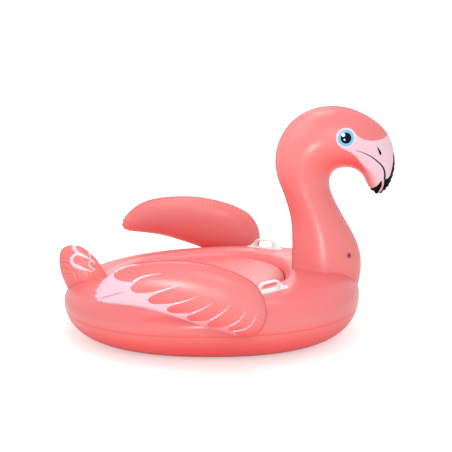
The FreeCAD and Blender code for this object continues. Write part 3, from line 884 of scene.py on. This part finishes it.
def head_vinyl():
    """The neck's vinyl with the printed eye, beak, nostril and black tip."""
    finish = vinyl("printed_head_vinyl")
    eye = finish.stored("eye")
    height = finish.parts(finish.stored_vector("rest"))["Z"]
    soft = finish.calc("MULTIPLY_ADD", finish.ramp(height, 0.75, 0.67), 0.022, 0.0006)
    past = finish.calc("ADD", finish.stored("beak"), soft)
    faded = finish.calc("DIVIDE", past, finish.calc("MULTIPLY", soft, 2.0))
    finish.paint(finish.ramp(faded, -0.5, 1.0, 1.0, 0.0), PALE_PINK)
    for radius, colour in ((EYE_RING, RING_PINK), (EYE_IRIS, EYE_BLUE), (EYE_PUPIL, EYE_DARK)):
        finish.paint(finish.inside(finish.calc("SUBTRACT", eye, radius)), colour)
    finish.paint(finish.inside(finish.stored("glint")), (0.95, 0.95, 0.95))
    tip = finish.inside(finish.stored("tip"))
    pupil = finish.inside(finish.calc("SUBTRACT", eye, EYE_PUPIL))
    finish.paint(strokes_inside(finish, len(HEAD_STROKES)), BEAK_BLACK)
    finish.paint(tip, BEAK_BLACK)
    # the stripe between the black tips takes the same coral that serves as painted light on upward faces
    finish.paint(finish.inside(finish.stored("gap")), CORAL_PAINTED_LIGHT_AND_TIP_GAP)
    dark = finish.calc("MAXIMUM", tip, pupil)
    coat = finish.calc("MULTIPLY_ADD", dark, DARK_INK_COAT - VINYL_COAT, VINYL_COAT)
    finish.put("Coat Weight", coat)
    shine = finish.calc("MULTIPLY_ADD", dark, DARK_INK_SHINE - VINYL_SHINE, VINYL_SHINE)
    finish.put("Specular IOR Level", shine)
    return finish.done()


neck_columns = chamber_columns(NECK_STATIONS, 620, BEAK_TIP)
neck_edge = neck_columns[0]
beak_end = np.clip((0.76 - neck_edge[:, 1]) / 0.08, 0, 1) * (neck_edge[:, 0] > 0.66)
neck_pucker = 1 + 0.7 * beak_end  # the pinches are deeper towards the beak's tip
head_material = head_vinyl()
neck_skins = []
neck_sheets = []
for side, name in SIDES:
    grid, distance = chamber_sheet(neck_columns, side, 34, False, neck_pucker)
    neck_sheets.append(grid)
    piece = skin(
        "neck_%s_skin" % name,
        grid,
        head_material,
        flip=side > 0,
        stored=[("weld", distance)] + head_artwork(grid),
    )
    neck_skins.append(piece)
open_for_valve(neck_skins[1], "neck")

# ---------------------------------------------------------------- wings

PETALS = [
    [(-0.348, 0.415), (-0.36, 0.41), (-0.3625, 0.4), (-0.349, 0.39), (-0.322, 0.3835),
     (-0.296, 0.3815)],
    [(-0.278, 0.384), (-0.291, 0.371), (-0.2985, 0.356), (-0.289, 0.345), (-0.261, 0.34),
     (-0.233, 0.342), (-0.206, 0.3465)],
    [(-0.199, 0.34), (-0.219, 0.328), (-0.2325, 0.311), (-0.224, 0.2985), (-0.192, 0.295),
     (-0.16, 0.297), (-0.135, 0.3005)],
    [(-0.127, 0.296), (-0.148, 0.287), (-0.162, 0.27), (-0.151, 0.2585), (-0.119, 0.257),
     (-0.09, 0.2585), (-0.066, 0.2625)],
    [(-0.058, 0.2575), (-0.076, 0.249), (-0.0865, 0.237), (-0.077, 0.226), (-0.048, 0.224),
     (-0.02, 0.2275), (0.002, 0.2335)],
    [(0.007, 0.228), (-0.003, 0.2205), (-0.008, 0.209), (0.003, 0.199), (0.031, 0.199),
     (0.056, 0.2045), (0.077, 0.2105)],
    [(0.084, 0.2055), (0.075, 0.199), (0.072, 0.192), (0.079, 0.1845), (0.095, 0.184)],
]
WEB_EDGE = [
    (0.14, 0.13), (-0.1, 0.19), (-0.3, 0.24), (-0.47, 0.26), (-0.49, 0.36),
    (-0.44, 0.43), (-0.37, 0.45), (-0.355, 0.425),
]
FEATHER_LINES = [
    ([(-0.358, 0.417), (-0.333, 0.428), (-0.306, 0.437), (-0.269, 0.443)], 0.007, 0.001),
    ([(-0.287, 0.383), (-0.261, 0.3985), (-0.226, 0.409), (-0.178, 0.416)], 0.008, 0.0008),
    ([(-0.203, 0.343), (-0.173, 0.353), (-0.147, 0.3615), (-0.112, 0.374)], 0.0076, 0.0008),
    ([(-0.132, 0.298), (-0.095, 0.3085), (-0.069, 0.318), (-0.045, 0.329)], 0.007, 0.0008),
    ([(-0.063, 0.26), (-0.034, 0.274), (-0.006, 0.29), (0.012, 0.304)], 0.0062, 0.0008),
    ([(0.004, 0.231), (0.031, 0.249), (0.06, 0.273), (0.082, 0.296)], 0.0056, 0.0008),
    ([(0.08, 0.208), (0.103, 0.222), (0.124, 0.243), (0.1405, 0.268)], 0.0052, 0.0008),
    ([(0.093, 0.1835), (0.118, 0.188), (0.144, 0.199), (0.167, 0.222), (0.184, 0.258)], 0.005, 0.0008),
]


def wing_artwork(grid):
    """Distances of every vertex from the pale feathers printed on a wing."""
    places = flat_places(grid)
    shape = grid.shape[:2]
    scallops = np.concatenate([curve(petal, 24) for petal in PETALS])
    web = to_shape(places, np.concatenate([scallops, np.array(WEB_EDGE)]))
    return [("web", web.reshape(shape))] + lines_stored(places, shape, FEATHER_LINES)


def wing_vinyl():
    """The wing's vinyl with the pale feather ends, paler to the rear."""
    finish = vinyl("printed_wing_vinyl")
    rear = finish.ramp(finish.parts(finish.stored_vector("rest"))["X"], 0.06, -0.2, 0.34, 1.0)
    web = finish.inside(finish.stored("web"))
    finish.paint(finish.calc("MULTIPLY", web, rear), PALE_PINK)
    finish.paint(strokes_inside(finish, len(FEATHER_LINES)), WHITE_INK)
    return finish.done()


WING_FOLDS = [
    ([(-0.436, 0.307), (-0.405, 0.316), (-0.377, 0.325), (-0.34, 0.338), (-0.305, 0.348)], 0.012, 0.003),
    ([(-0.3, 0.28), (-0.277, 0.288), (-0.24, 0.299)], 0.004, 0.0026),
]

wing_columns = chamber_columns(WING_STATIONS, 250, WING_FRONT, WING_REAR)
wing_edge = wing_columns[0]
# The pinches are deepest at the wing's rear and along its top.
wing_rear = np.clip((-0.28 - wing_edge[:, 0]) / 0.1, 0, 1)
wing_top = np.clip((wing_edge[:, 1] - 0.3) / 0.08, 0, 1)
wing_pucker = np.maximum(0.15 + 1.1 * wing_top, 1.15 * wing_rear)
wing_material = wing_vinyl()
wing_skins = {}
for side, name in SIDES:
    for face, rows, material in ((side, 46, wing_material), (-side, 30, coral)):
        grid, distance = chamber_sheet(wing_columns, face, rows, True, wing_pucker)
        stored = [("weld", distance)]
        if face == side:
            fold(grid, face, WING_FOLDS)
            stored += wing_artwork(grid)
        grid[:, :, 1] += side * WING_SIDE
        label = "outer" if face == side else "inner"
        full_name = "wing_%s_%s_skin" % (name, label)
        piece = skin(full_name, grid, material, closed=True, flip=face > 0, stored=stored)
        wing_skins[name, label] = piece

# ---------------------------------------------------------------- tail

TAIL_STROKES = [
    ([(-0.596, 0.372), (-0.5885, 0.355), (-0.574, 0.337)], 0.0126, 0.0125),
    ([(-0.574, 0.337), (-0.548, 0.325), (-0.527, 0.313), (-0.512, 0.304)], 0.014, 0.0013),
    ([(-0.579, 0.334), (-0.595, 0.325), (-0.601, 0.311), (-0.595, 0.295),
      (-0.581, 0.285)], 0.0098, 0.015),
    ([(-0.581, 0.285), (-0.554, 0.275), (-0.508, 0.259)], 0.0168, 0.0013),
    ([(-0.504, 0.291), (-0.515, 0.304), (-0.523, 0.302), (-0.5275, 0.293), (-0.521, 0.281),
      (-0.502, 0.265)], 0.0042, 0.005),
    ([(-0.529, 0.333), (-0.519, 0.313)], 0.0056, 0.0013),
]


def tail_vinyl():
    """The tail's vinyl with its pale strokes."""
    finish = vinyl("printed_tail_vinyl")
    finish.paint(strokes_inside(finish, len(TAIL_STROKES)), RING_PINK)
    return finish.done()


TAIL_FOLDS = [
    ([(-0.662, 0.309), (-0.64, 0.314), (-0.614, 0.31)], 0.0037, 0.0032),
    ([(-0.661, 0.29), (-0.64, 0.297), (-0.618, 0.296), (-0.598, 0.288)], 0.0048, 0.0034),
    ([(-0.658, 0.268), (-0.632, 0.274), (-0.604, 0.268)], 0.0037, 0.0032),
    ([(-0.65, 0.243), (-0.62, 0.25), (-0.59, 0.244)], 0.0037, 0.0034),
    ([(-0.57, 0.205), (-0.578, 0.232), (-0.59, 0.262)], 0.0044, 0.0039),
    ([(-0.545, 0.225), (-0.552, 0.246), (-0.566, 0.268)], 0.0034, 0.0034),
    ([(-0.52, 0.24), (-0.528, 0.262), (-0.542, 0.28)], 0.0031, 0.0034),
]

TAIL_PUCKER = 0.3
tail_columns = chamber_columns(TAIL_STATIONS, 130, TAIL_TIP)
tail_material = tail_vinyl()
tail_skins = []
tail_sheets = []
for side, name in SIDES:
    grid, distance = chamber_sheet(tail_columns, side, 44, False, TAIL_PUCKER)
    fold(grid, side, TAIL_FOLDS)
    tail_sheets.append(grid)
    stored = [("weld", distance)] + lines_stored(flat_places(grid), grid.shape[:2], TAIL_STROKES)
    tail_skins.append(skin("tail_%s_skin" % name, grid, tail_material, flip=side > 0, stored=stored))

# ---------------------------------------------------------------- hull

hull_pieces = [hull_bottom(coral), hull_top(coral), seat(coral)]
open_for_valve(hull_pieces[1], "hull")

# ---------------------------------------------------------------- welds at the roots

BEAD_RADIUS = 0.0016
WEB_DROP = 0.004  # a wing's tab meets the hull this much below the wing's weld
WEB_SAG = 0.003
WEB_ROWS = 12
WEB_COLUMNS = 60


def crease(sheets):
    """The closed line where a chamber's two sheets meet the hull's upper skin."""
    runs = []
    for grid, part in ((sheets[0], "start"), (sheets[0], "end"), (sheets[1], "end"), (sheets[1], "start")):
        line = []
        for row in grid[1:]:
            points = row if part == "start" else row[::-1]
            above = points[:, 2] - hull_height(points[:, 0], points[:, 1])
            first = int(np.argmax(above > 0))
            share = above[first] / (above[first] - above[first - 1])
            line.append(points[first] + (points[first - 1] - points[first]) * share)
        runs.append(np.array(line))
    left_start, left_end, right_end, right_start = runs
    return np.concatenate([left_start, left_end[::-1], right_end, right_start[::-1]])


def even_loop(points, count):
    """A closed line as evenly spaced points, lightly smoothed."""
    closed = np.concatenate([points, points[:1]])
    steps = np.linalg.norm(np.diff(closed, axis=0), axis=1)
    length = np.concatenate([[0], np.cumsum(steps)])
    places = np.linspace(0, length[-1], count, endpoint=False)
    loop = np.stack([np.interp(places, length, closed[:, axis]) for axis in range(3)], axis=1)
    return np.stack([smoothed(loop[:, axis], 1.5, True) for axis in range(3)], axis=1)


def bead(name, loop, material):
    """A round bead of welded vinyl along a closed line."""
    way = unit(np.roll(loop, -1, axis=0) - np.roll(loop, 1, axis=0))
    out = unit(np.cross(way, [0.0, 0.0, 1.0]))
    up = np.cross(out, way)
    rings = []
    for angle in np.linspace(0, 2 * math.pi, 13):
        rings.append(loop + BEAD_RADIUS * (math.cos(angle) * out + math.sin(angle) * up))
    points, faces = welded_grid(np.array(rings), True, False)[:2]
    piece = new_object(name, points, faces, material)
    store(piece, "rest", np.array([vertex.co for vertex in piece.data.vertices]))
    # the bead lies in the weld, so the vinyl's painted weld shade darkens all of it
    store(piece, "weld", np.full(len(piece.data.vertices), 0.002))
    return piece


def wing_web(name, side, material):
    """The vinyl tab that welds a wing to the hull's side."""
    low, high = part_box("wing_%s_root_strip" % name)
    edge, middle = wing_columns[:2]
    lower = edge[edge[:, 1] < middle[:, 1]]
    lower = lower[np.argsort(lower[:, 0])]
    along = np.linspace(low.x, high.x, WEB_COLUMNS)
    weld_height = np.interp(along, lower[:, 0], lower[:, 1])
    hull_side = weld_height - WEB_DROP
    inner = min(abs(low.y), abs(high.y))
    rings = []
    for share in np.linspace(0, 1, WEB_ROWS):
        across = inner + (WING_SIDE - inner) * share
        sag = WEB_SAG * math.sin(math.pi * share)
        height = hull_side + (weld_height - hull_side) * share**2 - sag
        rings.append(np.stack([along, np.full(WEB_COLUMNS, side * across), height], axis=1))
    stored = [("weld", np.full((WEB_ROWS, WEB_COLUMNS), 0.02))]
    return skin("wing_%s_root_web" % name, np.array(rings), material, flip=side < 0, stored=stored)


neck_weld = bead("neck_root_weld", even_loop(crease(neck_sheets), 260), coral)
tail_weld = bead("tail_root_weld", even_loop(crease(tail_sheets), 160), coral)
wing_webs = {name: wing_web(name, side, coral) for side, name in SIDES}

# ---------------------------------------------------------------- handles

HANDLE_MIDDLE = (0.237, 0.3605)
HANDLE_YAW = math.radians(-35.1)
FLANGE_LENGTH = 0.186
FLANGE_WIDTH = 0.042
FLANGE_ABOVE = 0.003  # the flange's top over the hull, and its underside below the skin
FLANGE_BELOW = 0.002
# The grip from its foot to the middle of its bar: along, up, half the thickness, half the width.
GRIP_STATIONS = [
    (0.066, -0.008, 0.017, 0.0175),
    (0.058, 0.003, 0.0115, 0.0165),
    (0.0525, 0.013, 0.0074, 0.0142),
    (0.046, 0.023, 0.0052, 0.0122),
    (0.037, 0.0305, 0.0045, 0.0112),
    (0.02, 0.033, 0.0044, 0.011),
    (0.0, 0.0335, 0.0044, 0.011),
]
FOOT_REACH = 0.06  # where the hull's slope under the grip is taken
GRIP_SQUARENESS = 0.75
HANDLE_VOXEL = 0.0011


def handle_frame(along, across):
    """World X and Y of a place on the left handle."""
    x = HANDLE_MIDDLE[0] + along * math.cos(HANDLE_YAW) - across * math.sin(HANDLE_YAW)
    y = HANDLE_MIDDLE[1] + along * math.sin(HANDLE_YAW) + across * math.cos(HANDLE_YAW)
    return x, y


def handle_flange():
    """The oval flange that lies on the hull, as rings from its middle over its edge and back below."""
    angles = turns(96)
    straight = (FLANGE_LENGTH - FLANGE_WIDTH) / 2
    rings = []
    sections = [(share, 1.0) for share in np.linspace(0, 0.93, 9)]
    sections += [(0.975, 0.8), (1.0, 0.3), (1.0, -0.3)]
    sections += [(share, -1.0) for share in np.linspace(0.97, 0, 9)]
    for share, level in sections:
        spread = FLANGE_WIDTH / 2 * share
        along = spread * np.cos(angles) + straight * share * np.tanh(5 * np.cos(angles))
        x, y = handle_frame(along, spread * np.sin(angles))
        lift = FLANGE_ABOVE * level if level > 0 else FLANGE_BELOW * level
        rings.append(np.stack([x, y, hull_height(x, y) + lift], axis=1))
    return np.array(rings)


def rounded(value):
    """A cosine or sine bent towards that of a rounded rectangle."""
    return math.copysign(abs(value) ** GRIP_SQUARENESS, value)


def handle_grip():
    """The bent grip as rings of rounded sections along its middle line."""
    half = through(GRIP_STATIONS, np.linspace(0, 1, 40))
    mirrored = half[-2::-1] * np.array([-1, 1, 1, 1])
    rows = np.concatenate([half, mirrored])
    way = unit(np.gradient(rows[:, :2], axis=0))
    rear, front = [hull_height(*handle_frame(reach, 0.0)) for reach in (-FOOT_REACH, FOOT_REACH)]
    slope = (front - rear) / (2 * FOOT_REACH)
    base = (rear + front) / 2 + FLANGE_ABOVE
    rings = []
    for angle in turns(40):
        thick = rows[:, 2] * rounded(math.cos(angle))
        across = rows[:, 3] * rounded(math.sin(angle))
        along = rows[:, 0] - way[:, 1] * thick
        x, y = handle_frame(along, across)
        rings.append(np.stack([x, y, base + slope * along + rows[:, 1] + way[:, 0] * thick], axis=1))
    return np.array(rings).transpose(1, 0, 2)


def capped(grid):
    """A tube of rings with its two ends closed on their middles."""
    first, last = [np.full_like(ring, ring.mean(axis=0)) for ring in (grid[0], grid[-1])]
    return np.concatenate([[first], grid, [last]])


def handle(name, side, material):
    """Flange and grip as one moulding: joined, remeshed and smoothed."""
    points = []
    faces = []
    for grid in (handle_flange(), capped(handle_grip())):
        sided = grid * np.array([1, side, 1])
        part_points, part_faces = welded_grid(sided, True, side < 0)[:2]
        faces += [[corner + len(points) for corner in face] for face in part_faces]
        points += part_points
    rough = new_object(name + "_rough", points, faces, material)
    remesh = rough.modifiers.new("one_piece", "REMESH")
    remesh.mode = "VOXEL"
    remesh.voxel_size = HANDLE_VOXEL
    soften = rough.modifiers.new("soften", "SMOOTH")
    soften.factor = 0.5
    soften.iterations = 9
    bpy.context.view_layer.update()
    remeshed = rough.evaluated_get(bpy.context.evaluated_depsgraph_get())
    mesh = bpy.data.meshes.new_from_object(remeshed)
    bpy.data.objects.remove(rough)
    mesh.polygons.foreach_set("use_smooth", np.ones(len(mesh.polygons), bool))
    piece = add_object(name, mesh)
    if not mesh.materials:
        mesh.materials.append(material)
    store(piece, "rest", np.array([vertex.co for vertex in mesh.vertices]))
    return piece


handles = {}
for side, name in SIDES:
    handles[name] = handle("handle_%s_moulding" % name, side, handle_white)

# ---------------------------------------------------------------- CAD parts that stay

STAYING = {
    "tie_web": web_pink,
    "neck_base_diaphragm": web_pink,
    "valve_cup": valve_clear,
    "valve_stem": valve_clear,
    "valve_strap": valve_clear,
    "valve_flap": valve_clear,
    "valve_plug": plug_purple,
}
for label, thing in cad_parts.items():
    for part, material in STAYING.items():
        if part in label:
            thing.data.materials.clear()
            thing.data.materials.append(material)

# ---------------------------------------------------------------- who rides on what

for piece, node in zip(hull_pieces, ("hull_bottom_panel", "hull_top_panel", "seat_panel")):
    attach(piece, "hull")
    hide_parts(node)
for piece, node in zip(neck_skins, ("neck_left_panel", "neck_right_panel")):
    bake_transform(piece)
    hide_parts(node, "neck_root_collar")
for piece, node in zip(tail_skins, ("tail_left_panel", "tail_right_panel")):
    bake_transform(piece)
    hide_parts(node, "tail_root_collar")
for (name, label), piece in wing_skins.items():
    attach(piece, "wing_" + name)
    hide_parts("wing_%s_%s_panel" % (name, label))
for piece in (neck_weld, tail_weld):
    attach(piece, "hull")
for side, name in SIDES:
    web = wing_webs[name]
    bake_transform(web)
    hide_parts("wing_%s_root_strip" % name)
    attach(handles[name], "hull")
    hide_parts("handle_" + name)

# ---------------------------------------------------------------- floor, light and camera


def area_light(name, place, target, size, power, height=None):
    """A square soft lamp that faces its target, or a tall one with a height."""
    lamp = bpy.data.lights.new(name, "AREA")
    lamp.size = size
    lamp.energy = power
    if height:
        lamp.shape = "RECTANGLE"
        lamp.size_y = height
    made = add_object(name, lamp)
    made.location = place
    made.visible_camera = False
    made.rotation_euler = (Vector(target) - Vector(place)).to_track_quat("-Z", "Y").to_euler()


def studio_world(seen, cast):
    """A white surround: seen is what the camera sees of it and cast is the light that it gives."""
    world = bpy.data.worlds.new("studio")
    world.use_nodes = True
    tree = world.node_tree
    background = tree.nodes["Background"]
    background.inputs["Color"].default_value = (1, 1, 1, 1)
    path = tree.nodes.new("ShaderNodeLightPath")
    strength = tree.nodes.new("ShaderNodeMath")
    strength.operation = "MULTIPLY_ADD"
    strength.inputs[1].default_value = seen - cast
    strength.inputs[2].default_value = cast
    tree.links.new(path.outputs["Is Camera Ray"], strength.inputs[0])
    tree.links.new(strength.outputs[0], background.inputs["Strength"])
    bpy.context.scene.world = world


def studio_floor(half_size):
    """A large white sheet that stays white away from the float's shadow."""
    finish = Finish("studio_floor", (0.9, 0.9, 0.9), 0.9)
    finish.put("Specular IOR Level", 0.0)
    finish.put("Emission Color", (1, 1, 1, 1))
    seen = finish.node("LightPath").outputs["Is Camera Ray"]
    finish.put("Emission Strength", finish.calc("MULTIPLY", seen, 0.45))
    corners = [(x * half_size, y * half_size, 0.0) for x, y in ((-1, -1), (1, -1), (1, 1), (-1, 1))]
    floor = new_object("studio_floor", corners, [(0, 1, 2, 3)], finish.done())


studio_world(seen=1.05, cast=0.82)
studio_floor(60.0)
bpy.context.scene.view_settings.view_transform = "Standard"
area_light("overhead", (0.1, 0.5, 3.2), (0.0, 0.0, 0.2), 1.3, 19)
area_light("behind", (0.0, 3.0, 2.0), (0.0, 0.0, 0.3), 1.2, 9)
area_light("front", (0.9, -4.2, 2.6), (0.1, 0.0, 0.4), 1.2, 20)
area_light("inner", (-0.3, -0.2, 1.5), (-0.1, 0.56, 0.34), 1.0, 4.5)
area_light("strip", (-0.45, -6.2, 0.35), (0.4, 0.0, 0.5), 0.65, 95, height=0.9)

CAMERA_LENS = 99.6  # fitted to the object's symmetric features
CAMERA_PLACE = (0.0908, -5.2199, 1.6571)
CAMERA_TURN = (math.radians(77.01), 0, 0.0057)
camera_data = bpy.data.cameras.new("camera")
camera_data.lens = CAMERA_LENS
camera_data.sensor_width = 36
camera = add_object("camera", camera_data)
camera.location = CAMERA_PLACE
camera.rotation_euler = CAMERA_TURN
bpy.context.scene.camera = camera
